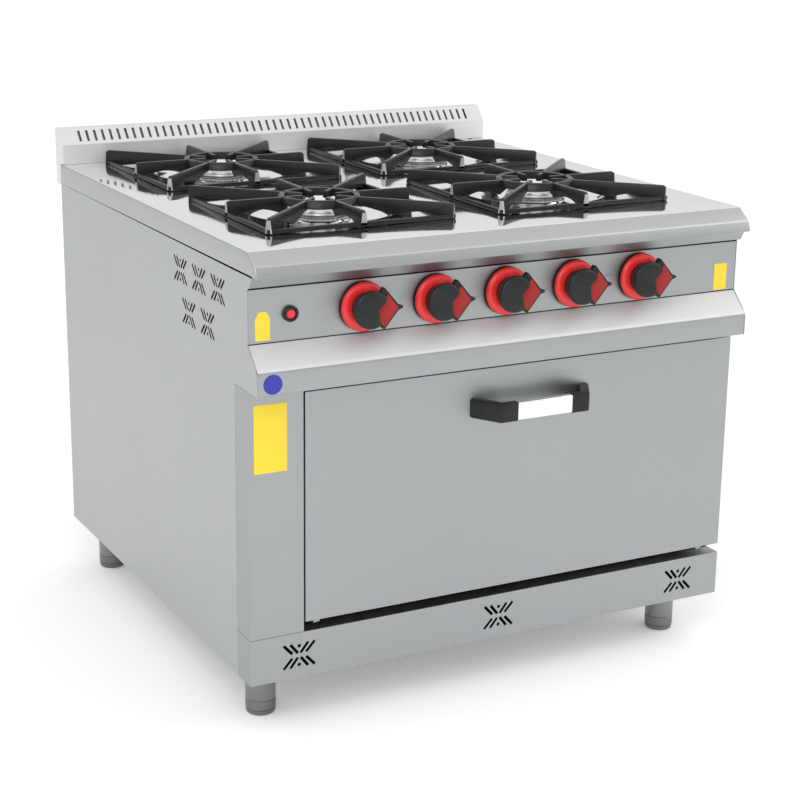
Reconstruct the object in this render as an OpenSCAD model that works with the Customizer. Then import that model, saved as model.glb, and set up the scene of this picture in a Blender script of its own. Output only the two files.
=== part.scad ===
// Free-standing commercial gas range: four open burners with lift-off pan supports over an
// oven with a drop-down door. Folded stainless sheet body on four adjustable legs.

/* [Body] */
// Overall width of the body
body_w = 900; // [880:5:940]
// Depth from the door's face to the back panel
body_d = 875; // [865:5:900]
// Height of the flat worktop above the floor
top_z = 786; // [780:1:796]
// Height of the body's underside above the floor
leg_h = 89; // [80:1:92]
// Height of the front plinth
plinth_h = 77; // [74:1:80]
// Thickness of the body's steel sheet
sheet = 1.5; // [1:0.1:2]

/* [Front] */
// Height of the oven door
door_h = 378; // [374:1:380]
// Open gap between the plinth and the door
door_gap = 16; // [15:0.5:17]
// Width of the stile left of the door
stile_w = 92; // [85:1:95]
// How far the bumper rail stands in front of the door
bumper_out = 35; // [30:1:38]
// Height of the worktop's front nose
nose_h = 37; // [34:1:40]

/* [Hob] */
// Half the side of a square pan support
grate_half = 165; // [150:1:170]
// Height of a pan support above the worktop
grate_h = 25; // [22:1:28]
// Distance between the burners, side to side
burner_pitch = 414; // [400:1:420]
// Distance of the front burners behind the door's face
front_row = 263; // [250:1:270]
// Distance of the rear burners behind the door's face
rear_row = 682; // [670:1:690]
// Diameter of the pressed well round a burner
well_d = 250; // [230:2:260]
// Depth of the wells
well_depth = 14; // [10:1:16]

/* [Flue riser] */
// Height of the riser above the worktop
riser_h = 64; // [56:1:70]
// How far the riser stands behind the back panel
riser_back = 25; // [22:1:30]
// Number of slots in its sloping face
riser_slots = 55; // [30:1:56]

/* [Knobs] */
// Distance between two knobs
knob_pitch = 127; // [115:1:129]
// Radius of a knob's skirt ring
skirt_r = 39; // [34:1:40]
// How far the pointer nose reaches from the knob's axis
pointer_r = 54; // [48:1:55]
// Travel when a knob is pushed in
knob_push = 3; // [2:0.5:3.5]

/* [Door handle] */
// Distance between the two handle brackets' outer ends
handle_w = 226; // [200:2:260]
// How far the handle stands in front of the door
handle_out = 50; // [45:1:60]
// Height of the handle bar
handle_bar_h = 30; // [24:1:34]

/* [Hidden] */

STEEL = [0.72, 0.74, 0.75];
BRIGHT = [0.90, 0.91, 0.92];
BLACK = [0.08, 0.08, 0.09];
RED = [0.85, 0.12, 0.12];
IRON = [0.13, 0.13, 0.14];
ENAMEL = [0.05, 0.05, 0.06];
BRASS = [0.72, 0.56, 0.28];
WOOL = [0.85, 0.80, 0.62];

half_w = body_w / 2;
seam = 0.3;                        // gap between two sheets that meet
inset = half_w - sheet - seam;     // half width between the side panels

// Heights up the front, from the floor
plinth_top = leg_h + plinth_h;
door_z0 = plinth_top + door_gap;
door_z1 = door_z0 + door_h;
nose_z = top_z - nose_h;
channel_z = nose_z - 18;           // underside of the front channel
panel_top = channel_z - 4;
panel_bottom = panel_top - 83;
bumper_z0 = door_z1 + 12;

// Front to back
frame_y = 44;                      // face of the oven's front frame
front_min = -handle_out;
back_max = body_d + riser_back;
mid_y = (front_min + back_max) / 2;
cheek_y = 50;                      // where the stile's and plinth's side returns end

// Section points of the nose, channel and bumper, as [y, z]
nose_bevel = [-28, top_z - 19];
nose_front = -bumper_out;
channel_lip = -19;
bumper_knee = [-28, panel_bottom - 28];
bumper_round = 12;

// Door and oven
door_x0 = -half_w + stile_w + 3;
door_x1 = half_w;
door_skin = 30;                    // depth of the outer door tray
door_cx = (door_x0 + door_x1) / 2;
pivot_y = 8;
pivot_z = door_z0 - 2;
pin_r = 3;
hinge_fit = 0.05;
bracket_w = 5;
bracket_x = [door_x0 + 15, door_x1 - 46];
cavity_x0 = door_x0 + 55;
cavity_x1 = door_x1 - 80;
cavity_z0 = plinth_top + 46;
cavity_z1 = door_z1 - 40;
cavity_back = body_d - 135;
jacket = 25;                       // thickness of the insulation
gasket_w = 12;
sole_z = cavity_z0 + 34;
rack_z = sole_z + 124;
runner_w = 10;

// Hob
well_r = well_d / 2;
burner_x = burner_pitch / 2;
head_r = 50;
arm_count = 8;
ring_r = 70;                       // outer radius of the pan support's ring
ring_w = 14;
lift_gap = 0.3;                    // pan support above the worktop

// Knobs and valves
knob_count = 5;
knob_z = (panel_top + panel_bottom) / 2;
first_knob = -5.5 - 2 * knob_pitch;
bezel_t = 3;
skirt_back = bezel_t + knob_push + 0.5;
skirt_t = 7;
body_r = 30;
knob_front = 40;
pointer_d = 34;                    // how far the pointer's face stands in front of the panel
stem_r = 4;
stem_fit = 0.05;
manifold_y = 72;
manifold_r = 13;
igniter_x = -half_w + 70;
button_r = 8;

// Flue
duct_half = 122;
duct_z = cavity_z1 - 52;
riser_lip = nose_z - 2;
riser_top_d = 16;
riser_foot = body_d - 16;          // front face of the riser
riser_shoulder = top_z + 36;

// Legs
leg_x = half_w - 55;
leg_front = 89;
leg_back = body_d - 61;
leg_r = 25;
leg_wall = 1.6;
foot_h = 26;
inlet_x = -half_w + 35;
inlet_r = 10.48;                   // half-inch pipe thread

function knob_x(k) = first_knob + k * knob_pitch;

// Unit normal on the left of the line from a to b
function left_of(a, b) = [a[1] - b[1], b[0] - a[0]] / norm(b - a);

// Point i of an open path, moved to its left so that both neighbouring edges move by t
function moved(p, i, t) =
    let (n1 = i > 0 ? left_of(p[i - 1], p[i]) : left_of(p[0], p[1]),
         n2 = i < len(p) - 1 ? left_of(p[i], p[i + 1]) : n1)
    p[i] + (n1 + n2) * t / (1 + n1 * n2);

// Outline of a folded sheet: a path and the same path moved to its left by the thickness
function folded(p, t) = concat(p, [for (i = [len(p) - 1 : -1 : 0]) moved(p, i, t)]);

// Points of an arc round c
function arc(c, r, a0, a1, n) = [for (i = [0 : n]) let (a = a0 + (a1 - a0) * i / n) c + r * [cos(a), sin(a)]];

// Moves the model so that its origin is under the middle of its box
module place() { translate([0, -mid_y, 0]) children(); }

// Solid box between two opposite corners
module block(a, b) { translate(a) cube(b - a); }

// Extrudes a section drawn as [y, z] from x0 to x1
module along_x(x0, x1) {
    translate([x0, 0, 0]) rotate([90, 0, 90]) linear_extrude(x1 - x0) children();
}

// Round bar from a to b
module rod(a, b, r, n = 32) {
    d = b - a;
    translate(a) rotate([0, acos(d[2] / norm(d)), atan2(d[1], d[0])]) cylinder(h = norm(d), r = r, $fn = n);
}

// Pipe through a list of points, with an elbow fitting at each bend
module pipe_run(points, r) {
    for (i = [0 : len(points) - 2]) rod(points[i], points[i + 1], r, 20);
    for (i = [1 : len(points) - 2]) translate(points[i]) sphere(r = r + 1.6, $fn = 24);
}

// Round part turned on an axis that points to the front, its profile drawn as [radius, distance to the front]
module turned_front(x, z) {
    translate([x, 0, z]) rotate([90, 0, 0]) rotate_extrude($fn = 64) children();
}

// Places a child at each of the four burners
module at_burner(column, row) {
    translate([column * burner_x, row < 0 ? front_row : rear_row, 0]) children();
}
module at_burners() {
    for (column = [-1, 1]) for (row = [-1, 1]) at_burner(column, row) children();
}

// ---------------------------------------------------------------- body sheets

// One group of cooling slots: two rows of slanting slots and a dot, like an hourglass. Drawn as
// cutters of the given depth that point along +Z.
module slot_group(depth) {
    slot_w = 4.6;
    for (row = [-1, 1]) {
        for (side = [-1, 1]) for (s = [[26, 13], [14.5, 3.5]]) {
            top = [side * s[0], row * 19];
            low = [side * s[1], row * 5];
            angle = atan2(low[1] - top[1], low[0] - top[0]);
            translate([(top[0] + low[0]) / 2, (top[1] + low[1]) / 2, 0]) rotate([0, 0, angle])
                cube([norm(low - top) + 3, slot_w, depth], center = true);
        }
        translate([0, row * 16, 0]) cylinder(h = depth, d = 5.6, center = true, $fn = 20);
    }
}

side_vents = [[112, 705], [190, 705], [268, 705], [156, 641], [234, 641]];
plinth_vents = [-366, 0, 366];

// Front edge of a side panel, which closes the ends of the channel, control panel and bumper
function cheek() = concat(
    [[channel_lip, nose_z - seam], [-8, channel_z], [0, channel_z - 2], [0, panel_bottom]],
    [bumper_knee],
    [[-bumper_out, bumper_knee[1] - bumper_round], [-bumper_out, bumper_z0]]);

module side_sheet(side, low_front) {
    edge = concat(
        [[body_d, leg_h + seam], [body_d, nose_z - seam]], cheek(),
        [[low_front, bumper_z0], [low_front, leg_h + seam]]);
    x0 = side < 0 ? -half_w : half_w - sheet;
    difference() {
        union() {
            along_x(x0, x0 + sheet) polygon(edge);
            // return flange along the bottom
            block([side < 0 ? x0 : x0 - 14, low_front, leg_h + seam],
                [side < 0 ? x0 + 15.5 : x0 + sheet, body_d - sheet - seam, leg_h + seam + sheet]);
        }
        for (v = side_vents)
            translate([x0 + sheet / 2, v[0], v[1]]) rotate([90, 0, 90]) slot_group(3 * sheet);
    }
}

module side_panel_left() { color(STEEL) place() side_sheet(-1, cheek_y + seam); }
module side_panel_right() { color(STEEL) place() side_sheet(1, frame_y + seam); }

module back_panel() {
    color(STEEL) place() difference() {
        block([-inset, body_d - sheet, leg_h + seam], [inset, body_d, riser_lip - 1]);
        translate([inlet_x, body_d, knob_z]) rotate([90, 0, 0]) cylinder(h = 10, r = 14, center = true, $fn = 48);
        for (row = [0 : 2]) for (i = [-4 : 4])
            block([i * 70 - 22, body_d - 5, 250 + 40 * row], [i * 70 + 22, body_d + 5, 255 + 40 * row]);
    }
}

module base_pan() {
    color(STEEL) place()
        block([-inset, sheet + seam, leg_h + 2 * sheet], [inset, body_d - sheet - seam, leg_h + 3 * sheet]);
}

module plinth() {
    section = folded([[-half_w, cheek_y], [-half_w, 0], [half_w, 0], [half_w, frame_y]], sheet);
    color(STEEL) place() difference() {
        union() {
            translate([0, 0, leg_h]) linear_extrude(plinth_h) polygon(section);
            // top and bottom flanges
            block([-half_w, 0, plinth_top - sheet], [half_w, 30, plinth_top]);
            block([-half_w, 0, leg_h], [half_w, 20, leg_h + sheet]);
        }
        for (x = plinth_vents)
            translate([x, sheet / 2, leg_h + plinth_h / 2]) rotate([90, 0, 0]) slot_group(3 * sheet);
    }
}

module stile_left() {
    section = folded([[-half_w, cheek_y], [-half_w, 0], [-half_w + stile_w, 0], [-half_w + stile_w, frame_y - seam]], sheet);
    color(STEEL) place() translate([0, 0, plinth_top + seam]) linear_extrude(bumper_z0 - plinth_top - 2 * seam)
        polygon(section);
}

module stile_right() {
    section = folded([[cavity_x1 + 30, frame_y], [inset, frame_y], [inset, frame_y + 50]], sheet);
    foot_z = leg_h + 3 * sheet + seam;
    color(STEEL) place() translate([0, 0, foot_z])
        linear_extrude(bumper_z0 - seam - foot_z) polygon(section);
}

// Worktop: top sheet folded down to a nose, with side skirts and four pressed wells
module worktop() {
    nose = folded([[body_d, top_z], [-2, top_z], nose_bevel, [nose_front, nose_z], [channel_lip - 1, nose_z]], sheet);
    skirt = [[body_d, top_z], [-2, top_z], nose_bevel, [nose_front, nose_z], [body_d, nose_z]];
    floor_z = top_z - well_depth;
    well = folded([[well_r + 4, top_z], [well_r, top_z], [well_r - 12, floor_z], [head_r + 2, floor_z]], sheet);
    color(BRIGHT) place() union() {
        difference() {
            along_x(-half_w, half_w) polygon(nose);
            at_burners() translate([0, 0, top_z - 5]) cylinder(h = 10, r = well_r, $fn = 96);
        }
        at_burners() rotate_extrude($fn = 96) polygon(well);
        for (x = [-half_w, half_w - sheet]) along_x(x, x + sheet) polygon(skirt);
    }
}

module front_channel() {
    section = folded([[20, nose_z - seam], [channel_lip, nose_z - seam], [-8, channel_z], [20, channel_z]], sheet);
    color(STEEL) place() along_x(-inset, inset) polygon(section);
}

module control_panel() {
    section = folded([[24, panel_top], [0, panel_top], [0, panel_bottom]], sheet);
    color(STEEL) place() difference() {
        along_x(-inset, inset) polygon(section);
        for (k = [0 : knob_count - 1])
            translate([knob_x(k), 0, knob_z]) rotate([90, 0, 0]) cylinder(h = 20, r = stem_r + 2, center = true, $fn = 32);
        translate([igniter_x, 0, knob_z]) rotate([90, 0, 0]) cylinder(h = 20, r = 10.3, center = true, $fn = 48);
    }
}

// Bumper rail: slopes out from the control panel, rounds over and folds back under
module bumper_rail() {
    round_c = [-bumper_out + bumper_round, bumper_knee[1] - bumper_round];
    path = concat(
        [[-seam, panel_bottom - 1]],
        arc(round_c, bumper_round, 130, 180, 5),
        [[-bumper_out, bumper_z0 + seam], [frame_y - 20, bumper_z0 + seam]]);
    color(STEEL) place() along_x(-inset, inset) polygon(folded(path, sheet));
}

// Flue riser: slotted sloping face over a short upright one, closed ends, hung on the back
module flue_riser() {
    slope_top = [back_max - riser_top_d, top_z + riser_h];
    slope_low = [riser_foot, riser_shoulder];
    slope_mid = (slope_top + slope_low) / 2;
    slope_angle = atan2(slope_top[1] - slope_low[1], slope_top[0] - slope_low[0]);
    slot_pitch = (body_w - 60) / riser_slots;
    path = [
        [body_d + 1, riser_lip], [back_max, riser_lip], [back_max, top_z + riser_h], slope_top, slope_low,
        [riser_foot, top_z + seam], [body_d - 2, top_z + seam]
    ];
    end_cap = [
        [body_d + seam, riser_lip], [back_max, riser_lip], [back_max, top_z + riser_h], slope_top, slope_low,
        [riser_foot, top_z + seam], [body_d + seam, top_z + seam]
    ];
    color(BRIGHT) place() difference() {
        union() {
            along_x(-half_w, half_w) polygon(folded(path, sheet));
            for (x = [-half_w, half_w - sheet]) along_x(x, x + sheet) polygon(end_cap);
        }
        for (i = [0 : riser_slots - 1])
            translate([(i - (riser_slots - 1) / 2) * slot_pitch, slope_mid[0], slope_mid[1]])
                rotate([slope_angle, 0, 0]) cube([5, 24, 6 * sheet], center = true);
    }
}

// ---------------------------------------------------------------- oven

// Flue duct: from the oven's back wall, up behind the oven and into the riser
module duct_volume(wall, ends) {
    x = duct_half - wall;
    y0 = body_d - 75 + wall;
    y1 = body_d - 43 - wall;
    block([-x, cavity_back + sheet + seam - ends, duct_z + wall], [x, y1, duct_z + 28 - wall]);
    block([-x, y0, duct_z + wall], [x, y1, top_z - 6 - wall]);
    block([-x, y0, nose_z + 3 + wall], [x, body_d - sheet + ends, top_z - 6 - wall]);
}
module flue_duct() {
    color(STEEL) place() difference() {
        duct_volume(0, 0);
        duct_volume(sheet, 5);
    }
}

// Oven liner: open-fronted box with a front frame, shelf runners and ledges for the sole plate
module oven_liner() {
    runner_levels = [rack_z - 74, rack_z - 8.3, rack_z + 58];
    color(ENAMEL) place() difference() {
        union() {
            difference() {
                block([cavity_x0 - sheet, frame_y, cavity_z0 - sheet], [cavity_x1 + sheet, cavity_back + sheet, cavity_z1 + sheet]);
                block([cavity_x0, frame_y - 1, cavity_z0], [cavity_x1, cavity_back, cavity_z1]);
            }
            difference() {
                block([door_x0 - 1, frame_y, plinth_top + 2], [cavity_x1 + 28, frame_y + sheet, bumper_z0 - 2]);
                block([cavity_x0, frame_y - 1, cavity_z0], [cavity_x1, frame_y + 5, cavity_z1]);
            }
            for (z = runner_levels) for (x = [cavity_x0, cavity_x1 - runner_w])
                block([x, frame_y + 16, z], [x + runner_w, cavity_back - 20, z + 5]);
            for (x = [cavity_x0, cavity_x1 - runner_w])
                block([x, frame_y + 10, sole_z - 8], [x + runner_w, cavity_back - 4, sole_z - seam]);
        }
        // flue outlet, burner feed and its lighting hole
        block([-duct_half + 4, cavity_back - 5, duct_z + 4], [duct_half - 4, cavity_back + 5, duct_z + 24]);
        translate([cavity_x0, 400, cavity_z0 + 17]) rotate([0, 90, 0]) cylinder(h = 20, r = 8, center = true, $fn = 32);
    }
}

module oven_insulation() {
    gap = sheet + seam;
    color(WOOL) place() difference() {
        block([cavity_x0 - gap - jacket, frame_y + 6, cavity_z0 - gap - jacket],
              [cavity_x1 + gap + jacket, cavity_back + gap + jacket, cavity_z1 + gap + jacket]);
        block([cavity_x0 - gap, frame_y, cavity_z0 - gap], [cavity_x1 + gap, cavity_back + gap, cavity_z1 + gap]);
        block([-duct_half - 2, cavity_back, duct_z - 2], [duct_half + 2, cavity_back + 60, duct_z + 30]);
        translate([cavity_x0 - 20, 400, cavity_z0 + 17]) rotate([0, 90, 0]) cylinder(h = 60, r = 8, center = true, $fn = 32);
    }
}

module oven_sole_plate() {
    color(IRON) place() difference() {
        block([cavity_x0 + 3, frame_y + 14, sole_z], [cavity_x1 - 3, cavity_back - 6, sole_z + 4]);
        for (x = [cavity_x0 + 40, cavity_x1 - 40]) for (i = [0 : 5])
            block([x - 6, 130 + i * 95, sole_z - 1], [x + 6, 180 + i * 95, sole_z + 5]);
    }
}

module oven_burner() {
    z = cavity_z0 + 17;
    color(STEEL) place() union() {
        rod([cavity_x0 + 30, 400, z], [cavity_x1 - 60, 400, z], 11);
        for (x = [cavity_x0 + 120, cavity_x1 - 150]) rod([x, 180, z], [x, 640, z], 9);
        rod([cavity_x0 - 34, 400, z], [cavity_x0 + 31, 400, z], 7.5);
        // feet on the liner's floor
        for (x = [cavity_x0 + 80, cavity_x1 - 100]) block([x - 3, 385, cavity_z0 + seam], [x + 3, 415, z]);
    }
}

module oven_rack() {
    rod_r = 3;
    wire_r = 2;
    wires = 17;
    x0 = cavity_x0 + 5;
    x1 = cavity_x1 - 5;
    y0 = frame_y + 22;
    y1 = cavity_back - 26;
    z = rack_z;
    color(BRIGHT) place() union() {
        for (y = [y0, (y0 + y1) / 2, y1]) rod([x0, y, z], [x1, y, z], rod_r);
        for (x = [x0, x1]) rod([x, y0, z], [x, y1, z], rod_r);
        for (x = [x0, x1]) for (y = [y0, y1]) translate([x, y, z]) sphere(r = rod_r, $fn = 32);
        for (i = [1 : wires])
            rod([x0 + (x1 - x0) * i / (wires + 1), y0, z + 1], [x0 + (x1 - x0) * i / (wires + 1), y1, z + 1], wire_r);
    }
}

module door_gasket() {
    out = 18;
    ring = out - gasket_w;
    color(BLACK) place() difference() {
        block([cavity_x0 - out, door_skin + sheet + seam, cavity_z0 - out], [cavity_x1 + out, frame_y, cavity_z1 + out]);
        block([cavity_x0 - ring, 0, cavity_z0 - ring], [cavity_x1 + ring, frame_y + 5, cavity_z1 + ring]);
    }
}

// ---------------------------------------------------------------- door

// Hinge brackets: fixed to the front frame, they reach under the door to the pivot
module hinge_brackets() {
    nose_r = 5.5;
    color(STEEL) place() for (x = bracket_x) difference() {
        union() {
            along_x(x, x + bracket_w) union() {
                translate([pivot_y, pivot_z]) circle(r = nose_r, $fn = 48);
                translate([pivot_y, pivot_z - nose_r]) square([frame_y - pivot_y, 2 * nose_r]);
            }
            block([x - 6, frame_y - 2.5, pivot_z - nose_r], [x + bracket_w + 6, frame_y, pivot_z + 24]);
        }
        translate([x - 1, pivot_y, pivot_z]) rotate([0, 90, 0]) cylinder(h = bracket_w + 2, r = pin_r + hinge_fit, $fn = 48);
    }
}

// Slots that let the hinge brackets and arms through the door's lower edge
module hinge_notches() {
    for (x = bracket_x) block([x - 2, sheet, door_z0 - 1], [x + bracket_w + 8, door_skin + 20, door_z0 + 8]);
}

module door_outer() {
    color(STEEL) place() difference() {
        block([door_x0, 0, door_z0], [door_x1, door_skin, door_z1]);
        block([door_x0 + sheet, sheet, door_z0 + sheet], [door_x1 - sheet, door_skin + 1, door_z1 - sheet]);
        hinge_notches();
    }
}

module door_inner() {
    plug_x0 = cavity_x0 + 6;
    plug_x1 = cavity_x1 - 6;
    plug_z0 = cavity_z0 + 9;
    plug_z1 = cavity_z1 - 9;
    plug_y = door_skin + 10;
    color(ENAMEL) place() difference() {
        union() {
            block([door_x0 + 2, door_skin, door_z0 + 9], [door_x1 - 2, door_skin + sheet, door_z1 - 3]);
            block([plug_x0, door_skin, plug_z0], [plug_x1, plug_y, plug_z1]);
        }
        block([plug_x0 + sheet, door_skin - 1, plug_z0 + sheet], [plug_x1 - sheet, plug_y - sheet, plug_z1 - sheet]);
    }
}

module door_insulation() {
    color(WOOL) place()
        block([door_x0 + 45, sheet + seam, door_z0 + 12], [door_x1 - 45, door_skin - seam, door_z1 - 6]);
}

// Hinge arms: a pin beside each bracket, on an arm that runs up inside the door
module hinge_arms() {
    arm_w = 5;
    color(STEEL) place() for (x = bracket_x) {
        x0 = x + bracket_w + 0.6;
        along_x(x0, x0 + arm_w) union() {
            translate([pivot_y, pivot_z]) circle(r = 5, $fn = 48);
            translate([pivot_y - 5, pivot_z]) square([10, 70]);
        }
        rod([x - 1, pivot_y, pivot_z], [x0 + 1, pivot_y, pivot_z], pin_r);
        // foot welded to the inside of the door skin
        block([x0, sheet, pivot_z + 20], [x0 + 24, sheet + 2, pivot_z + 68]);
    }
}

handle_z = door_z1 - 63;
bar_half = 50;

module handle_bar() {
    color(BRIGHT) place() block(
        [door_cx - bar_half, -handle_out + 1, handle_z - handle_bar_h / 2],
        [door_cx + bar_half, -handle_out + 13, handle_z + handle_bar_h / 2]);
}

// Elbow bracket: out from the door at a slant, then along it to the bar
module handle_elbow(side) {
    out = handle_w / 2;
    outline = [
        [out, 0], [out - 20, 0], [out - 39, -handle_out + 14], [bar_half, -handle_out + 14],
        [bar_half, -handle_out], [out - 30, -handle_out]
    ];
    height = handle_bar_h + 2;
    translate([door_cx, 0, handle_z - height / 2]) linear_extrude(height)
        polygon([for (p = outline) [side * p[0], p[1]]]);
}
module handle_bracket_left() { color(BLACK) place() handle_elbow(-1); }
module handle_bracket_right() { color(BLACK) place() handle_elbow(1); }

// ---------------------------------------------------------------- knobs and gas

// Pointer of a knob from the front: a wide arrowhead with a small nose, pointing right
function knob_arrow() = [
    [12, 20], [22, 33], [pointer_r - 8, 4.5], [pointer_r, 1.8], [pointer_r, -1.8], [pointer_r - 8, -4.5], [22, -33],
    [12, -20]];

// Wavy line where the round grip ends over the pointer, top to bottom
function grip_line(x) = [
    [24 + x, 20.5], [20.5 + x, 10], [12.4 + x, 4.6], [9.7 + x, -1.6], [10.6 + x, -12.7], [12.4 + x, -19.4]];

module knob_body(k) {
    color(BLACK) place() difference() {
        union() {
            turned_front(knob_x(k), knob_z) polygon([
                [0, skirt_back], [23.7, skirt_back], [23.7, skirt_back + skirt_t + seam],
                [body_r, 31], [body_r, 36], [body_r - 4, knob_front], [0, knob_front]
            ]);
            translate([knob_x(k), -22, knob_z]) rotate([90, 0, 0]) linear_extrude(pointer_d - 22) polygon(knob_arrow());
        }
        // blind bore for the stem
        translate([knob_x(k), 0, knob_z]) rotate([90, 0, 0]) cylinder(h = 30, r = stem_r + stem_fit, $fn = 48);
        // grip cut away over the pointer
        translate([knob_x(k), -pointer_d, knob_z]) rotate([90, 0, 0]) linear_extrude(20)
            polygon(concat([[26, 45]], grip_line(0), [[9, -45], [70, -45], [70, 45]]));
    }
}

// Red face on the pointer, 3 mm inside its outline
function pointer_face() = concat(grip_line(0.4), [[16.5, -23.5], [21.5, -28], [44.5, 0], [26, 23]]);

module knob_skirt(k) {
    color(RED) place() union() {
        turned_front(knob_x(k), knob_z) polygon([
            [24, skirt_back], [skirt_r, skirt_back], [skirt_r, skirt_back + 3],
            [skirt_r - 3, skirt_back + skirt_t], [24, skirt_back + skirt_t]
        ]);
        translate([knob_x(k), -pointer_d - 0.1, knob_z]) rotate([90, 0, 0]) linear_extrude(1.5) polygon(pointer_face());
    }
}

module valve_stem(k) {
    color(BRASS) place() translate([knob_x(k), 42, knob_z]) rotate([90, 0, 0]) cylinder(h = 71, r = stem_r, $fn = 48);
}

module knob_bezels() {
    color(BLACK) place() for (k = [0 : knob_count - 1])
        turned_front(knob_x(k), knob_z) polygon([[stem_r + 3, 0], [skirt_r, 0], [skirt_r - 1, bezel_t], [stem_r + 3, bezel_t]]);
}

module gas_valves() {
    color(BRASS) place() for (k = [0 : knob_count - 1]) {
        x = knob_x(k);
        difference() {
            union() {
                block([x - 15, 16, knob_z - 15], [x + 15, manifold_y - manifold_r - seam, knob_z + 15]);
                translate([x, 16, knob_z]) rotate([90, 0, 0]) cylinder(h = 12, r = 10, $fn = 40);
            }
            translate([x, 46, knob_z]) rotate([90, 0, 0]) cylinder(h = 50, r = stem_r + stem_fit, $fn = 48);
        }
    }
}

// Manifold behind the control panel, and its supply pipe to the inlet stub at the back
module gas_manifold() {
    z = knob_z;
    end_x = knob_x(knob_count - 1) + 40;
    color(STEEL) place() union() {
        rod([inlet_x, manifold_y, z], [end_x, manifold_y, z], manifold_r);
        translate([inlet_x, manifold_y, z]) sphere(r = manifold_r, $fn = 32);
        rod([inlet_x, manifold_y, z], [inlet_x, body_d + 1, z], manifold_r);
        rod([inlet_x, body_d, z], [inlet_x, body_d + 21, z], inlet_r);
    }
}

// Feed pipes: from each valve down, back and up to its burner's injector; the middle one feeds the oven
module gas_pipes() {
    pipe_r = 5;
    z1 = knob_z - 15;
    z2 = knob_z - 40;
    mix_z = top_z - 48;
    feeds = [[0, -burner_x, front_row], [1, -burner_x, rear_row], [3, burner_x, rear_row], [4, burner_x, front_row]];
    color(BRASS) place() {
        for (f = feeds) {
            x = knob_x(f[0]);
            y = f[2] - 152;
            pipe_run([
                [x, 40, z1], [x, 40, z2], [x, y, z2], [f[1], y, z2], [f[1], y, mix_z], [f[1], y + 18, mix_z]
            ], pipe_r);
        }
        pipe_run([
            [knob_x(2), 40, z1], [knob_x(2), 40, bumper_z0 + 30], [cavity_x0 - 44, 40, bumper_z0 + 30],
            [cavity_x0 - 44, 400, bumper_z0 + 30], [cavity_x0 - 44, 400, cavity_z0 + 17], [cavity_x0 - 34.5, 400, cavity_z0 + 17]
        ], pipe_r);
    }
}

module igniter_body() {
    color(BLACK) place() difference() {
        union() {
            turned_front(igniter_x, knob_z) polygon([[0, 0], [12.5, 0], [12.5, 5], [11, 7], [0, 7]]);
            translate([igniter_x, 38, knob_z]) rotate([90, 0, 0]) cylinder(h = 38.5, r = 10, $fn = 48);
        }
        translate([igniter_x, 20, knob_z]) rotate([90, 0, 0]) cylinder(h = 40, r = button_r + 0.05, $fn = 48);
    }
}

module igniter_button() {
    color(RED) place() turned_front(igniter_x, knob_z) polygon([
        [0, -12], [button_r, -12], [button_r, 4], [button_r - 1.5, 5.5], [0, 5.5]
    ]);
}

// ---------------------------------------------------------------- hob

// Burner head: cast cup on a neck, with a mixing tube that runs towards the front
module burner_heads() {
    rim = top_z - 5;
    mix_z = top_z - 48;
    color(IRON) place() at_burners() difference() {
        union() {
            rotate_extrude($fn = 64) polygon([
                [0, mix_z - 16], [18, mix_z - 16], [20, top_z - 30], [head_r, top_z - 12], [head_r, rim], [0, rim]
            ]);
            rod([0, 0, mix_z], [0, -120, mix_z], 14);
            rod([0, -119, mix_z], [0, -132, mix_z], 19);
        }
        rod([0, -40, mix_z], [0, -133, mix_z], 11);
    }
}

module burner_caps() {
    base = top_z - 5 + seam;
    color(IRON) place() at_burners() rotate_extrude($fn = 64) polygon([
        [0, base], [45, base], [48, base + 3], [46, base + 8], [20, base + 10], [0, base + 10]
    ]);
}

// Underside of an arm between two feet, as an arch from r0 to r1
function arch(r0, r1, rise, n) = [for (i = [0 : n]) [r0 + (r1 - r0) * i / n, rise * sin(180 * i / n)]];

// One arm: its side view, cut to a section that narrows to the top
module grate_arm(reach) {
    foot = 15;
    inner = 30;
    top = grate_h;
    tip_arch = arch(reach - foot, reach - 92, 8, 8);
    side_view = concat(
        [[inner, 13], [inner, top], [reach - 5, top], [reach, top - 3], [reach, 0]],
        tip_arch,
        reach > 200 ? [[reach - 104, 0], [84, 9], [inner + 24, 12]] : [[inner + 24, 12]]);
    trapezoid = [[-6.5, -0.01], [6.5, -0.01], [3.2, top + 0.01], [-3.2, top + 0.01]];
    intersection() {
        rotate([90, 0, 0]) translate([0, 0, -10]) linear_extrude(20) polygon(side_view);
        rotate([90, 0, 90]) linear_extrude(reach + 1) polygon(trapezoid);
    }
}

// Pan support: thin square frame, ring over the burner, and eight arms to the frame's corners and sides
module pan_support(column, row) {
    bar = 7;
    color(IRON) place() at_burner(column, row) translate([0, 0, top_z + lift_gap]) union() {
        difference() {
            block([-grate_half, -grate_half, 0], [grate_half, grate_half, bar]);
            block([-grate_half + bar, -grate_half + bar, -1], [grate_half - bar, grate_half - bar, bar + 1]);
        }
        rotate_extrude($fn = 64) polygon([[ring_r - ring_w, 12], [ring_r, 12], [ring_r - 3, grate_h], [ring_r - ring_w + 2, grate_h]]);
        for (i = [0 : arm_count - 1])
            rotate([0, 0, i * 360 / arm_count]) grate_arm(i % 2 == 0 ? grate_half : grate_half * sqrt(2) - 3);
    }
}

// ---------------------------------------------------------------- legs

module leg_tubes() {
    color(STEEL) place() for (x = [-leg_x, leg_x]) for (y = [leg_front, leg_back]) translate([x, y, 0]) difference() {
        union() {
            translate([0, 0, foot_h]) cylinder(h = leg_h - foot_h, r = leg_r, $fn = 64);
            translate([0, 0, leg_h - 3]) cylinder(h = 3, r = leg_r + 10, $fn = 64);
        }
        translate([0, 0, foot_h - 1]) cylinder(h = leg_h - foot_h - 5, r = leg_r - leg_wall, $fn = 64);
    }
}

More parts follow.
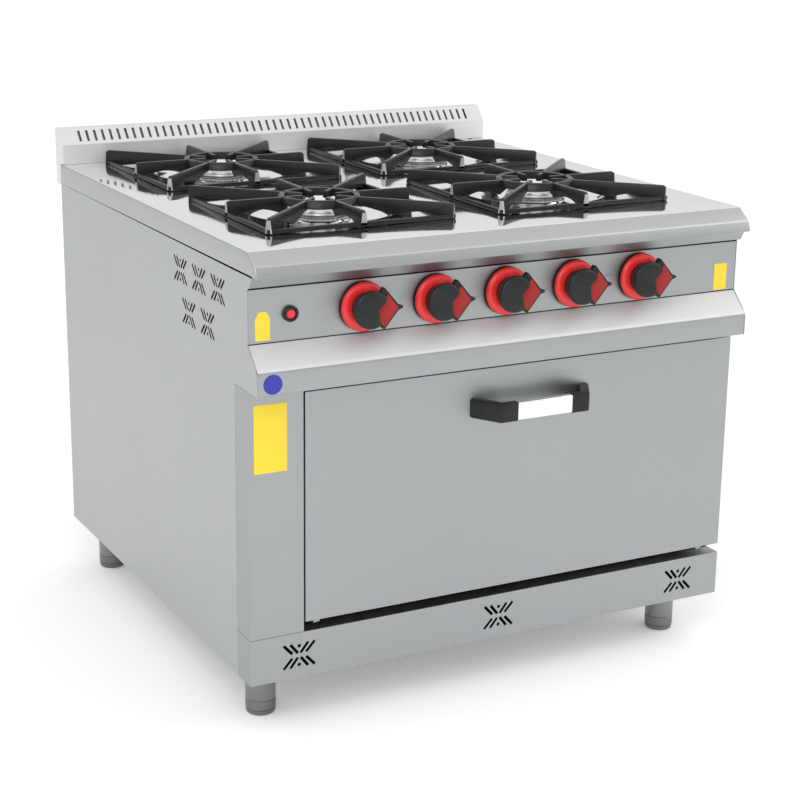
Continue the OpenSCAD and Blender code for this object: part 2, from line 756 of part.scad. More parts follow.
// Adjustable foot: a pad as wide as the leg, with a spigot that runs inside the tube
module foot(x, y) {
    spigot = leg_r - leg_wall - 0.06;
    color(STEEL) place() translate([x, y, 0]) rotate_extrude($fn = 64) polygon(concat(
        [[0, 0], [leg_r - 5, 0]],
        arc([leg_r - 5, 4], 4, -60, 0, 4),
        [[leg_r, 8], [leg_r, foot_h - seam], [spigot, foot_h - seam], [spigot, leg_h - 34], [0, leg_h - 34]]));
}

module body_screws() {
    color(STEEL) place() for (x = [-410, -200, 0, 200, 410]) for (z = [leg_h + 30, riser_lip - 40])
        if (!(x < -400 && z > 500)) translate([x, body_d, z]) rotate([-90, 0, 0]) cylinder(h = 3, r = 5, $fn = 24);
}

side_panel_left();
side_panel_right();
back_panel();
base_pan();
plinth();
stile_left();
stile_right();
worktop();
front_channel();
control_panel();
bumper_rail();
flue_riser();
flue_duct();
oven_liner();
oven_insulation();
oven_sole_plate();
oven_burner();
oven_rack();
door_gasket();
hinge_brackets();
door_outer();
door_inner();
door_insulation();
hinge_arms();
handle_bar();
handle_bracket_left();
handle_bracket_right();
knob_body(0);  // knob_1
knob_body(1);  // knob_2
knob_body(2);  // knob_3
knob_body(3);  // knob_4
knob_body(4);  // knob_5
knob_skirt(0);  // knob_skirt_1
knob_skirt(1);  // knob_skirt_2
knob_skirt(2);  // knob_skirt_3
knob_skirt(3);  // knob_skirt_4
knob_skirt(4);  // knob_skirt_5
valve_stem(0);  // valve_stem_1
valve_stem(1);  // valve_stem_2
valve_stem(2);  // valve_stem_3
valve_stem(3);  // valve_stem_4
valve_stem(4);  // valve_stem_5
knob_bezels();
gas_manifold();
gas_valves();
gas_pipes();
igniter_body();
igniter_button();
burner_heads();
burner_caps();
pan_support(-1, -1);  // pan_support_front_left
pan_support(1, -1);  // pan_support_front_right
pan_support(-1, 1);  // pan_support_rear_left
pan_support(1, 1);  // pan_support_rear_right
leg_tubes();
foot(-leg_x, leg_front);  // foot_front_left
foot(leg_x, leg_front);  // foot_front_right
foot(-leg_x, leg_back);  // foot_rear_left
foot(leg_x, leg_back);  // foot_rear_right
body_screws();
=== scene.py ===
import bpy
import math
from mathutils import Matrix, Vector


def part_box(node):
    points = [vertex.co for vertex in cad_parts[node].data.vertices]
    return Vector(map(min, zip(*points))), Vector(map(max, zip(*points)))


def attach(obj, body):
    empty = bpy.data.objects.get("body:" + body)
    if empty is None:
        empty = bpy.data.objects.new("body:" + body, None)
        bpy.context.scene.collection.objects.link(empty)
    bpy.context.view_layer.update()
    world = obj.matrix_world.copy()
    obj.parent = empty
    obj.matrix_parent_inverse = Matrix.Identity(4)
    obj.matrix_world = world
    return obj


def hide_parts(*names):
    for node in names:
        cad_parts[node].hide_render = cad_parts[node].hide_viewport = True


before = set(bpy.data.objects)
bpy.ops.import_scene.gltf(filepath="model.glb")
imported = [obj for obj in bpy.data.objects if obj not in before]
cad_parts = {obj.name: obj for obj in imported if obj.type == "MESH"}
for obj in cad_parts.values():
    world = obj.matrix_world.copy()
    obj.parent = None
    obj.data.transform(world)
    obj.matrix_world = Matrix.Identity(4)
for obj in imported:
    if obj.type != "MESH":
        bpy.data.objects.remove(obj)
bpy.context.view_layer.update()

# ---- Camera and studio ------------------------------------------------------------------------
# A long lens a little above the hob, off the range's left front corner. The floor is one pale
# sheet, with a large soft light on the left, a weaker one on the right and an even white room.
STAND = (-1.5013, -2.8947, 1.3452)
YAW, PITCH, ROLL = 0.4876, 0.2848, 0.0130
lens = bpy.data.cameras.new("studio_camera")
lens.lens = 83.70
lens.sensor_width = 36.0
lens.clip_end = 60
camera = bpy.data.objects.new("studio_camera", lens)
bpy.context.scene.collection.objects.link(camera)
camera.matrix_world = (Matrix.Translation(STAND) @ Matrix.Rotation(-YAW, 4, "Z")
                       @ Matrix.Rotation(math.pi / 2 - PITCH, 4, "X") @ Matrix.Rotation(ROLL, 4, "Z"))
bpy.context.scene.camera = camera
bpy.context.scene.view_settings.view_transform = "Standard"


def deselect():
    """Object mode, with nothing selected."""
    if bpy.context.object and bpy.context.object.mode != "OBJECT":
        bpy.ops.object.mode_set(mode="OBJECT")
    bpy.ops.object.select_all(action="DESELECT")


deselect()
bpy.ops.mesh.primitive_plane_add(size=60, location=(0, 0, 0))
floor = bpy.context.object
floor.name = "studio_floor"


class Shader:
    """A new material with its node tree, and short names for the nodes a finish is made of."""

    def __init__(self, name):
        self.material = bpy.data.materials.new(name)
        self.material.use_nodes = True
        self.nodes = self.material.node_tree.nodes
        self.links = self.material.node_tree.links
        self.surface = self.nodes["Principled BSDF"]
        self.place = self.nodes.new("ShaderNodeTexCoord").outputs["Object"]

    def set(self, **values):
        for socket, value in values.items():
            self.surface.inputs[socket.replace("_", " ")].default_value = value

    def noise(self, scale, stretch=(1, 1, 1), detail=3.0):
        """Noise in object space, drawn out by stretch."""
        grid = self.nodes.new("ShaderNodeMapping")
        grid.inputs["Scale"].default_value = stretch
        self.links.new(self.place, grid.inputs["Vector"])
        tex = self.nodes.new("ShaderNodeTexNoise")
        tex.inputs["Scale"].default_value = scale
        tex.inputs["Detail"].default_value = detail
        self.links.new(grid.outputs["Vector"], tex.inputs["Vector"])
        return tex.outputs["Fac"]

    def spread(self, value, low, high, socket):
        """Maps a noise value to a range and plugs it into one of the surface's sockets."""
        ramp = self.nodes.new("ShaderNodeMapRange")
        ramp.inputs["From Min"].default_value = 0.3
        ramp.inputs["From Max"].default_value = 0.7
        ramp.inputs["To Min"].default_value = low
        ramp.inputs["To Max"].default_value = high
        self.links.new(value, ramp.inputs["Value"])
        self.links.new(ramp.outputs["Result"], self.surface.inputs[socket])

    def tint(self, value, dark, light, low=0.3, high=0.7):
        """Colours the surface between two tones by a noise value."""
        ramp = self.nodes.new("ShaderNodeValToRGB")
        ramp.color_ramp.elements[0].position = low
        ramp.color_ramp.elements[0].color = (*dark, 1)
        ramp.color_ramp.elements[1].position = high
        ramp.color_ramp.elements[1].color = (*light, 1)
        self.links.new(value, ramp.inputs["Fac"])
        self.links.new(ramp.outputs["Color"], self.surface.inputs["Base Color"])

    def relief(self, value, strength, depth):
        """Bumps the surface by a noise value; depth is in metres."""
        bump = self.nodes.new("ShaderNodeBump")
        bump.inputs["Strength"].default_value = strength
        bump.inputs["Distance"].default_value = depth
        self.links.new(value, bump.inputs["Height"])
        self.links.new(bump.outputs["Normal"], self.surface.inputs["Normal"])


studio_white = Shader("studio_white")
studio_white.set(Roughness=0.9, Specular_IOR_Level=0.1)
studio_white.set(Emission_Color=(1, 1, 1, 1), Emission_Strength=0.16)
studio_white.tint(studio_white.noise(0.6), (0.93, 0.93, 0.93), (0.96, 0.96, 0.96))
floor.data.materials.append(studio_white.material)

# The room: white all round, brighter overhead than at the horizon
room = bpy.data.worlds.new("studio_room")
room.use_nodes = True
bpy.context.scene.world = room
air = room.node_tree
ray = air.nodes.new("ShaderNodeTexCoord")
split = air.nodes.new("ShaderNodeSeparateXYZ")
height = air.nodes.new("ShaderNodeValToRGB")
air.links.new(ray.outputs["Generated"], split.inputs["Vector"])
air.links.new(split.outputs["Z"], height.inputs["Fac"])
height.color_ramp.elements[0].position = 0.0
height.color_ramp.elements[0].color = (0.80, 0.80, 0.80, 1)
height.color_ramp.elements[1].position = 0.75
height.color_ramp.elements[1].color = (1, 1, 1, 1)
# Seen straight on, the backdrop is plain white
seen = air.nodes.new("ShaderNodeLightPath")
backdrop = air.nodes.new("ShaderNodeMix")
backdrop.data_type = "RGBA"
backdrop.inputs[7].default_value = (1.08, 1.08, 1.08, 1)
air.links.new(seen.outputs["Is Camera Ray"], backdrop.inputs[0])
air.links.new(height.outputs["Color"], backdrop.inputs[6])
air.links.new(backdrop.outputs[2], air.nodes["Background"].inputs["Color"])
air.nodes["Background"].inputs["Strength"].default_value = 0.95


def soft_light(name, at, aim, size, power):
    """A square softbox at one point, facing another."""
    lamp = bpy.data.lights.new(name, "AREA")
    lamp.size = size
    lamp.energy = power
    box = bpy.data.objects.new(name, lamp)
    bpy.context.scene.collection.objects.link(box)
    box.location = at
    box.rotation_euler = (Vector(aim) - Vector(at)).to_track_quat("-Z", "Y").to_euler()


soft_light("key_softbox", (-2.6, -3.2, 3.4), (0, 0, 0.5), 2.6, 60)
soft_light("fill_softbox", (3.2, -1.8, 2.6), (0, 0, 0.4), 2.6, 25)

# ---- Body sheets ------------------------------------------------------------------------------
# Side panels, plinth, stiles, channel, control panel and back are folded from 1.5 mm stainless
# sheet with a satin grain and spot-welded. The folds have a small outside radius.
front_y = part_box("door_outer")[0].y
half_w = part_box("worktop")[1].x
top_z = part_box("worktop")[1].z
SHEET = 0.0015


def satin_steel(name, tone, grain, rough, metal=1.0):
    """Brushed stainless sheet: fine scratches along one direction, and faint clouding."""
    steel = Shader(name)
    steel.set(Metallic=metal, Anisotropic=0.25)
    lines = steel.noise(90, grain, 6)
    steel.tint(steel.noise(3.5, detail=4), [c * 0.985 for c in tone], [min(1, c * 1.015) for c in tone])
    steel.spread(lines, rough - 0.03, rough + 0.05, "Roughness")
    steel.relief(lines, 0.08, 0.0002)
    return steel.material


ACROSS = (0.35, 9, 9)
UPRIGHT = (9, 9, 0.35)
# The front and side sheets are one satin steel in two tones: the darker front tone is painted shade and the
# lighter side tone is painted light
front_steel = satin_steel("front_steel", (0.380, 0.394, 0.400), ACROSS, 0.42)
side_steel = satin_steel("side_steel", (0.438, 0.450, 0.458), (9, 0.35, 9), 0.36)
plain_steel = satin_steel("plain_steel", (0.40, 0.41, 0.42), (9, 9, 9), 0.42)


def finish_node(material, *names, radius=0.0):
    """Gives CAD nodes their finish. A radius rounds their sharp edges."""
    for name in names:
        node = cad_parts[name]
        for place in node.material_slots:
            place.material = material
        if radius:
            weld = node.modifiers.new("joined", "WELD")
            weld.merge_threshold = 0.00001
            fold = node.modifiers.new("folded_edges", "BEVEL")
            fold.width = radius
            fold.segments = 3
            fold.limit_method = "ANGLE"
            fold.angle_limit = math.radians(35)
            fold.harden_normals = True


finish_node(side_steel, "side_panel_left", "side_panel_right")
finish_node(front_steel, "plinth", "stile_left", "stile_right", "control_panel", "front_channel",
            radius=0.0006)
finish_node(side_steel, "back_panel", "base_pan")
finish_node(plain_steel, "body_screws", "flue_duct", "gas_manifold", "hinge_brackets", "hinge_arms")

# ---- Bumper rail ------------------------------------------------------------------------------
# One long pressing between the side panels: it slopes out from under the knobs, rolls over a
# 12 mm radius and turns back under itself to close the gap over the door.


def offset_path(path, thick):
    """The path and, on its left, the same path a sheet's thickness away, as one closed outline."""
    def left(a, b):
        away = Vector((a[1] - b[1], b[0] - a[0]))
        return away.normalized()
    inner = []
    for i, point in enumerate(path):
        before = left(path[i - 1], point) if i else left(point, path[i + 1])
        after = left(point, path[i + 1]) if i < len(path) - 1 else before
        inner.append(Vector(point) + (before + after) * thick / (1 + before.dot(after)))
    return [Vector(p) for p in path] + inner[::-1]


def arc(centre, radius, start, end, steps):
    """Points round an arc, angles in degrees."""
    turns = [math.radians(start + (end - start) * i / steps) for i in range(steps + 1)]
    return [(centre[0] + radius * math.cos(t), centre[1] + radius * math.sin(t)) for t in turns]


def chain(name, corners):
    """A wire drawn from corner to corner in edit mode; it stays open and selected."""
    deselect()
    bpy.ops.mesh.primitive_plane_add(size=0.0001, location=corners[0])
    wire = bpy.context.object
    wire.name = name
    bpy.ops.object.mode_set(mode="EDIT")
    bpy.ops.mesh.select_mode(type="VERT")
    bpy.ops.mesh.select_all(action="SELECT")
    bpy.ops.mesh.merge(type="CENTER")
    for here, there in zip(corners, corners[1:]):
        bpy.ops.mesh.extrude_region_move(TRANSFORM_OT_translate={"value": Vector(there) - Vector(here)})
    bpy.ops.mesh.select_all(action="SELECT")
    return wire


def settle(piece):
    """Back to object mode with faces outward and the object's origin at the frame's."""
    bpy.ops.mesh.select_all(action="SELECT")
    bpy.ops.mesh.normals_make_consistent(inside=False)
    bpy.ops.object.mode_set(mode="OBJECT")
    bpy.ops.object.transform_apply(location=True, rotation=True, scale=True)
    return piece


def slab(name, corners, push):
    """A flat outline filled and extruded by push."""
    piece = chain(name, corners)
    bpy.ops.mesh.edge_face_add()
    bpy.ops.mesh.extrude_region_move(TRANSFORM_OT_translate={"value": push})
    return settle(piece)


def only(piece):
    """Selects one piece and makes it the active one."""
    deselect()
    piece.select_set(True)
    bpy.context.view_layer.objects.active = piece


def modify(piece, kind, **values):
    """Adds a modifier and applies it."""
    only(piece)
    step = piece.modifiers.new(kind.lower(), kind)
    for field, value in values.items():
        setattr(step, field, value)
    bpy.ops.object.modifier_apply(modifier=step.name)


def soften(piece, radius, segments=3, angle=30):
    """Rounds the sharp edges and smooths the shading across them."""
    modify(piece, "BEVEL", width=radius, segments=segments, limit_method="ANGLE",
           angle_limit=math.radians(angle), use_clamp_overlap=True)
    only(piece)
    bpy.ops.object.shade_smooth_by_angle(angle=math.radians(angle))


def complete(piece, material, body, slot, *nodes):
    """Gives a piece its finish and its body, and hides the CAD nodes it stands for. The slot is not used."""
    piece.data.materials.clear()
    piece.data.materials.append(material)
    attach(piece, body)
    if nodes:
        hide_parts(*nodes)
    return piece


def refinish(piece, material, test):
    """Gives a second finish to the faces whose centre and normal pass the test."""
    piece.data.materials.append(material)
    last = len(piece.data.materials) - 1
    for face in piece.data.polygons:
        if test(face.center, face.normal):
            face.material_index = last


def drawn_along_x(name, outline, x0, x1):
    """An outline of [y, z] drawn from x0 to x1."""
    return slab(name, [(x0, p[0], p[1]) for p in outline], (x1 - x0, 0, 0))


rail_lo, rail_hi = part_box("bumper_rail")
ROLL_R = 0.012
SLOPE_DROP, SLOPE_START = 0.027, 0.0243
roll = (rail_lo.y + ROLL_R, rail_hi.z - SLOPE_DROP - ROLL_R)
rail_path = [(rail_hi.y - SLOPE_START, rail_hi.z)] + arc(roll, ROLL_R, 132, 180, 8) + [
    (rail_lo.y, rail_lo.z), (rail_hi.y, rail_lo.z)]
bumper = drawn_along_x("bumper_rail_pressing", offset_path(rail_path, SHEET), rail_lo.x, rail_hi.x)
soften(bumper, 0.0008)
# The slope's far lighter tone than the front sheets is painted light where it faces up
bumper_steel = satin_steel("bumper_steel", (0.64, 0.645, 0.65), ACROSS, 0.46, 0.35)
complete(bumper, bumper_steel, "range_body", "stainless_sheet", "bumper_rail")
# The roll and the return under it take the front sheets' darker tone as painted shade
refinish(bumper, front_steel, lambda at, normal: normal.z < 0.35)

# ---- Worktop ----------------------------------------------------------------------------------
# The hob top is one bright sheet: flat round the burners, with a pressed drip well under each,
# rolled down in front to a double-bent nose and folded down at the sides.
WELL_R, CUP_R = 0.125, 0.050
SKIRT_DROP = 0.037
TOUCHING = 0.0001
burner_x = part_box("burner_heads")[1].x - CUP_R
rows = [sum(corner.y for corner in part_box(f"pan_support_{row}_left")) / 2 for row in ("front", "rear")]
brow_y = front_y - 0.002
split_y = sum(rows) / 2
back_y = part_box("worktop")[1].y
# Each step down into a well, as [radius, depth]
well_steps = [(0.1240, 0.0004), (0.1226, 0.0016), (0.1160, 0.0108), (0.1142, 0.0130), (0.1115, 0.0140),
              (0.0580, 0.0140), (0.0545, 0.0132), (0.0530, 0.0112)]
nose_folds = [(0, -0.026, -0.019), (0, -0.007, -0.018), (0, 0.015, 0)]


def burner_tile(x, y, x0, x1, y0, y1):
    """A rectangle of the flat top round one well, drawn out from the well's rim."""
    deselect()
    bpy.ops.mesh.primitive_circle_add(vertices=96, radius=WELL_R, location=(x, y, top_z))
    tile = bpy.context.object
    bpy.ops.object.mode_set(mode="EDIT")
    bpy.ops.mesh.select_all(action="SELECT")
    bpy.ops.mesh.extrude_region_move(TRANSFORM_OT_translate={"value": (0, 0, 0)})
    bpy.ops.object.mode_set(mode="OBJECT")
    edge = [v for v in tile.data.vertices if v.select]
    for v in edge:
        reach = min(abs((x1 if v.co.x > 0 else x0) - x) / max(abs(v.co.x), 1e-9),
                    abs((y1 if v.co.y > 0 else y0) - y) / max(abs(v.co.y), 1e-9))
        v.co = (v.co.x * reach, v.co.y * reach, 0)
    for corner in [(cx - x, cy - y, 0) for cx in (x0, x1) for cy in (y0, y1)]:
        min(edge, key=lambda v: (v.co - Vector(corner)).length).co = corner
    return tile


def pick(piece, test):
    """Selects the vertices that pass the test, and goes to edit mode."""
    only(piece)
    bpy.ops.object.mode_set(mode="EDIT")
    bpy.ops.mesh.select_mode(type="VERT")
    bpy.ops.mesh.select_all(action="DESELECT")
    bpy.ops.object.mode_set(mode="OBJECT")
    for v in piece.data.vertices:
        v.select = test(v.co)
    bpy.ops.object.mode_set(mode="EDIT")


tiles = []
for x0, x1 in ((-half_w, 0), (0, half_w)):
    for y, y0, y1 in ((rows[0], brow_y, split_y), (rows[1], split_y, back_y)):
        tiles.append(burner_tile(math.copysign(burner_x, x0 + x1), y, x0, x1, y0, y1))
deselect()
for tile in tiles:
    tile.select_set(True)
bpy.context.view_layer.objects.active = tiles[0]
bpy.ops.object.join()
worktop = bpy.context.object
worktop.name = "worktop_sheet"
bpy.ops.object.transform_apply(location=True)
bpy.ops.object.mode_set(mode="EDIT")
bpy.ops.mesh.select_all(action="SELECT")
bpy.ops.mesh.remove_doubles(threshold=0.00005)
bpy.ops.object.mode_set(mode="OBJECT")

# The nose: the front edge is pulled forward and down three times
pick(worktop, lambda p: abs(p.y - brow_y) < TOUCHING)
for fold in nose_folds:
    bpy.ops.mesh.extrude_region_move(TRANSFORM_OT_translate={"value": fold})
# The sides: the rear corner is drawn down, and the whole outline filled
for side in (-half_w, half_w):
    pick(worktop, lambda p: abs(p.x - side) < TOUCHING and p.y > back_y - TOUCHING)
    bpy.ops.mesh.extrude_region_move(TRANSFORM_OT_translate={"value": (0, 0, -SKIRT_DROP)})
    pick(worktop, lambda p: abs(p.x - side) < TOUCHING)
    bpy.ops.mesh.edge_face_add()
bpy.ops.mesh.select_all(action="SELECT")
bpy.ops.mesh.normals_make_consistent(inside=False)
bpy.ops.object.mode_set(mode="OBJECT")
modify(worktop, "BEVEL", width=0.0030, segments=4, limit_method="ANGLE", angle_limit=math.radians(22))

# The wells: each rim is pressed down and in, step by step
for x in (-burner_x, burner_x):
    for y in rows:
        centre = Vector((x, y, top_z))
        pick(worktop, lambda p: abs((p - centre).length - WELL_R) < 0.0004)
        reach, depth = WELL_R, 0
        for next_reach, next_depth in well_steps:
            shrink = next_reach / reach
            bpy.ops.mesh.extrude_region_move(TRANSFORM_OT_translate={"value": (0, 0, depth - next_depth)})
            bpy.ops.transform.resize(value=(shrink, shrink, 1), center_override=centre)
            reach, depth = next_reach, next_depth
bpy.ops.mesh.select_all(action="SELECT")
bpy.ops.mesh.normals_make_consistent(inside=False)
bpy.ops.object.mode_set(mode="OBJECT")
highest = max(worktop.data.polygons, key=lambda f: f.center.z * 10 + f.area)
if highest.normal.z < 0:
    worktop.data.flip_normals()
modify(worktop, "SOLIDIFY", thickness=SHEET, offset=-1, use_even_offset=True)
only(worktop)
bpy.ops.object.shade_smooth_by_angle(angle=math.radians(28))
bright_steel = Shader("polished_worktop")
bright_steel.set(Metallic=1.0)
bright_steel.tint(bright_steel.noise(2.5, detail=4), (0.83, 0.84, 0.845), (0.87, 0.88, 0.885))
wipe_marks = bright_steel.noise(60, ACROSS, 5)
bright_steel.spread(wipe_marks, 0.05, 0.10, "Roughness")
bright_steel.relief(wipe_marks, 0.05, 0.0001)
complete(worktop, bright_steel.material, "range_body", "polished_stainless", "worktop")
# The nose and the side skirts are the same sheet, toned by how each face meets the light: painted light on
# the up-facing bevel, painted shade on the lower nose faces, and the side panels' lighter tone, painted
# light, on the skirts
bevel_steel = satin_steel("bevel_steel", (0.51, 0.52, 0.525), ACROSS, 0.42)
refinish(worktop, bevel_steel, lambda at, normal: at.y < brow_y - 0.0015 and normal.z > 0.5)
refinish(worktop, front_steel, lambda at, normal: normal.z < 0.5 and at.y < brow_y)
refinish(worktop, side_steel, lambda at, normal: abs(normal.x) > 0.7 and abs(at.x) > half_w - 0.002)

# ---- Flue riser -------------------------------------------------------------------------------
# Folded from satin sheet: a sloping face with one long row of slots over an upright one, closed
# at both ends and hooked over the back of the worktop.
# The riser's steel is toned far lighter than the body's front sheets, as painted light
riser_steel = satin_steel("riser_steel", (0.72, 0.725, 0.73), ACROSS, 0.44, 0.55)
finish_node(riser_steel, "flue_riser")

# ---- Oven door --------------------------------------------------------------------------------
# A tray of satin stainless with an enamelled inner panel. It drops down on two pins at its lower
# edge. The handle is a bright flat bar between two moulded elbows.
finish_node(front_steel, "door_outer", radius=0.0012)

handle_lo, handle_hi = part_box("handle_bar")
elbow_lo, elbow_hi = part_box("handle_bracket_left")
door_cx = (handle_lo.x + handle_hi.x) / 2
bar_half = (handle_hi.x - handle_lo.x) / 2
elbow_half = door_cx - elbow_lo.x

# The bar's ends are let 4 mm into the elbows
bar_x0 = door_cx - bar_half - 0.004
bar_x1 = door_cx + bar_half + 0.004
bar_corners = [(bar_x0, handle_lo.z), (bar_x1, handle_lo.z), (bar_x1, handle_hi.z), (bar_x0, handle_hi.z)]
handle_bar = slab("handle_grip_bar", [(x, handle_lo.y, z) for x, z in bar_corners],
                  (0, handle_hi.y - handle_lo.y, 0))
soften(handle_bar, 0.0025, 4)
grip_steel = Shader("handle_bright_steel")
grip_steel.set(Metallic=1.0)
grip_steel.tint(grip_steel.noise(30, (1, 8, 8)), (0.93, 0.93, 0.93), (0.97, 0.97, 0.97))
grip_steel.spread(grip_steel.noise(120, (0.2, 6, 6)), 0.16, 0.24, "Roughness")
complete(handle_bar, grip_steel.material, "door", "polished_stainless", "handle_bar")

black_moulding = Shader("black_moulding")
black_moulding.set(Specular_IOR_Level=0.28)
black_moulding.tint(black_moulding.noise(40), (0.010, 0.011, 0.012), (0.018, 0.019, 0.021))
black_moulding.spread(black_moulding.noise(15), 0.30, 0.42, "Roughness")
black_moulding.relief(black_moulding.noise(900), 0.12, 0.0001)
black_plastic = black_moulding.material

# An elbow from above: out from the door, then in towards the bar
elbow_front = elbow_lo.y - front_y
elbow_back = 0.014 + elbow_lo.y - front_y
elbow_corners = [(elbow_half, 0), (elbow_half - 0.020, 0), (elbow_half - 0.039, elbow_back),
                 (bar_half, elbow_back), (bar_half, elbow_front), (elbow_half - 0.030, elbow_front)]
for side, node in ((-1, "handle_bracket_left"), (1, "handle_bracket_right")):
    elbow = slab(node + "_elbow", [(door_cx + side * x, front_y + y, elbow_lo.z) for x, y in elbow_corners],
                 (0, 0, elbow_hi.z - elbow_lo.z))
    soften(elbow, 0.0030, 4)
    complete(elbow, black_plastic, "door", "black_plastic", node)

# ---- Knobs ------------------------------------------------------------------------------------
# Each knob is a black moulding on a bright red skirt ring: a round flared grip over a wide
# arrowhead pointer with a red plate on it. A thin black bezel lies behind the skirt, its dark colour also
# painted shade for the shadow line round the skirt.
knob_z = sum(corner.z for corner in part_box("valve_stem_1")) / 2


def turned(name, profile, centre, axis, steps=64):
    """A profile of [radius, distance along the axis] spun round it."""
    along = Vector(axis)
    wire = [Vector(centre) + Vector((r, 0, 0)) + along * d for r, d in profile]
    piece = chain(name, wire)
    bpy.ops.mesh.spin(steps=steps, angle=math.tau, center=centre, axis=axis)
    bpy.ops.mesh.select_all(action="SELECT")
    bpy.ops.mesh.remove_doubles(threshold=0.00001)
    settle(piece)
    only(piece)
    bpy.ops.object.shade_smooth_by_angle(angle=math.radians(40))
    return piece


def copy_of(piece, name, shift):
    """The same piece again with its own mesh, moved by shift."""
    twin = piece.copy()
    twin.data = piece.data.copy()
    twin.name = name
    bpy.context.scene.collection.objects.link(twin)
    twin.data.transform(Matrix.Translation(shift))
    return twin


def joined(name, *pieces):
    """Several meshes as one piece."""
    deselect()
    for piece in pieces:
        piece.select_set(True)
    bpy.context.view_layer.objects.active = pieces[0]
    bpy.ops.object.join()
    bpy.context.object.name = name
    return bpy.context.object


red_gloss = Shader("red_skirt_plastic")
red_gloss.set(Coat_Weight=0.25, Coat_Roughness=0.15)
red_gloss.tint(red_gloss.noise(25), (0.74, 0.016, 0.018), (0.80, 0.024, 0.024))
red_gloss.spread(red_gloss.noise(200), 0.28, 0.36, "Roughness")
red_plastic = red_gloss.material
deep_red = Shader("pointer_plate_plastic")
deep_red.set(Specular_IOR_Level=0.3)
deep_red.tint(deep_red.noise(25), (0.30, 0.010, 0.010), (0.36, 0.014, 0.013))
deep_red.spread(deep_red.noise(200), 0.32, 0.42, "Roughness")

FORWARD = (0, -1, 0)
first_x = sum(corner.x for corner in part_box("valve_stem_1")) / 2
hub = (first_x, front_y, knob_z)
SKIRT_R, DRUM_R, BORE_R = 0.0390, 0.0300, 0.0240
KNOB_BACK = 0.0065
skirt = turned("knob_skirt_ring", [
    (BORE_R, KNOB_BACK), (0.0382, KNOB_BACK), (SKIRT_R, 0.0075), (SKIRT_R, 0.0088), (0.0384, 0.0102),
    (0.0365, 0.0128), (0.0352, 0.0135), (BORE_R, 0.0135), (BORE_R, KNOB_BACK)], hub, FORWARD, 72)
drum = turned("knob_drum", [
    (0, KNOB_BACK), (0.0236, KNOB_BACK), (0.0236, 0.0138), (DRUM_R, 0.0310), (DRUM_R, 0.0345),
    (0.0292, 0.0368), (0.0272, 0.0386), (0.0240, 0.0395), (0.0120, 0.0399), (0, 0.0400)], hub, FORWARD, 64)


def on_knob(depth, outline):
    """An outline seen from the front, at a depth in front of the first knob's axis."""
    return [(first_x + x, front_y - depth, knob_z + z) for x, z in outline]


# The grip ends over the pointer in a wavy line
grip_line = [(0.0240, 0.0205), (0.0222, 0.0145), (0.0205, 0.0100), (0.0165, 0.0068), (0.0124, 0.0046),
             (0.0103, 0.0018), (0.0097, -0.0016), (0.0099, -0.0070), (0.0106, -0.0127), (0.0124, -0.0194)]
cut_away = [(0.026, 0.045), *grip_line, (0.009, -0.045), (0.07, -0.045), (0.07, 0.045)]
cutter = slab("grip_cutter", on_knob(0.034, cut_away), (0, -0.02, 0))
modify(drum, "BOOLEAN", object=cutter, operation="DIFFERENCE", solver="EXACT")
bpy.data.objects.remove(cutter)
soften(drum, 0.0006, 2, 40)
TIP_X = 0.054
arrowhead = [(0.012, 0.020), (0.022, 0.033), (TIP_X - 0.008, 0.0045), (TIP_X, 0.0018),
             (TIP_X, -0.0018), (TIP_X - 0.008, -0.0045), (0.022, -0.033), (0.012, -0.020)]
pointer = slab("knob_pointer", on_knob(0.022, arrowhead), (0, -0.012, 0))
soften(pointer, 0.0014, 3, 25)
knob = joined("knob_moulding", drum, pointer)
# The red plate lies on the pointer, with a narrow gap to the grip
plate_outline = [(x + 0.0004, z) for x, z in grip_line] + [
    (0.0165, -0.0235), (0.0200, -0.0270), (0.0225, -0.0268), (0.0440, -0.0012), (0.0440, 0.0012),
    (0.0275, 0.0215), (0.0258, 0.0225)]
plate = slab("knob_red_plate", on_knob(0.0338, plate_outline), (0, -0.0018, 0))
soften(plate, 0.0005, 2)
STEM_R, BEZEL_T = 0.0070, 0.0030
bezel = turned("knob_bezel", [
    (STEM_R, 0), (SKIRT_R, 0), (SKIRT_R, 0.0014), (0.0380, BEZEL_T), (STEM_R, BEZEL_T), (STEM_R, 0)],
    hub, FORWARD, 72)

bezels = []
for k in range(1, 6):
    shift = Vector((sum(corner.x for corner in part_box(f"valve_stem_{k}")) / 2 - first_x, 0, 0))
    body = copy_of(knob, f"knob_{k}_moulding", shift)
    complete(body, black_plastic, f"knob_turn_{k}", "black_plastic", f"knob_{k}")
    red_pair = (copy_of(skirt, f"skirt_{k}", shift), copy_of(plate, f"plate_{k}", shift))
    red = joined(f"knob_{k}_red_parts", *red_pair)
    complete(red, red_plastic, f"knob_turn_{k}", "red_plastic", f"knob_skirt_{k}")
    refinish(red, deep_red.material, lambda at, normal: at.y < front_y - 0.030)
    bezels.append(copy_of(bezel, f"bezel_{k}", shift))
# The bezel rings are black, partly as painted shade for the shadow line round each skirt
complete(joined("knob_bezel_rings", *bezels), black_plastic, "range_body", "black_plastic", "knob_bezels")
for pattern in (knob, skirt, plate, bezel):
    bpy.data.objects.remove(pattern)

# The stems, valves and gas pipes behind the panel are brass
brass = Shader("turned_brass")
brass.set(Metallic=1.0)
brass.tint(brass.noise(30), (0.58, 0.42, 0.17), (0.66, 0.50, 0.22))
brass.spread(brass.noise(60, (1, 12, 1)), 0.28, 0.40, "Roughness")
finish_node(brass.material, *(f"valve_stem_{k}" for k in range(1, 6)), "gas_valves", "gas_pipes")

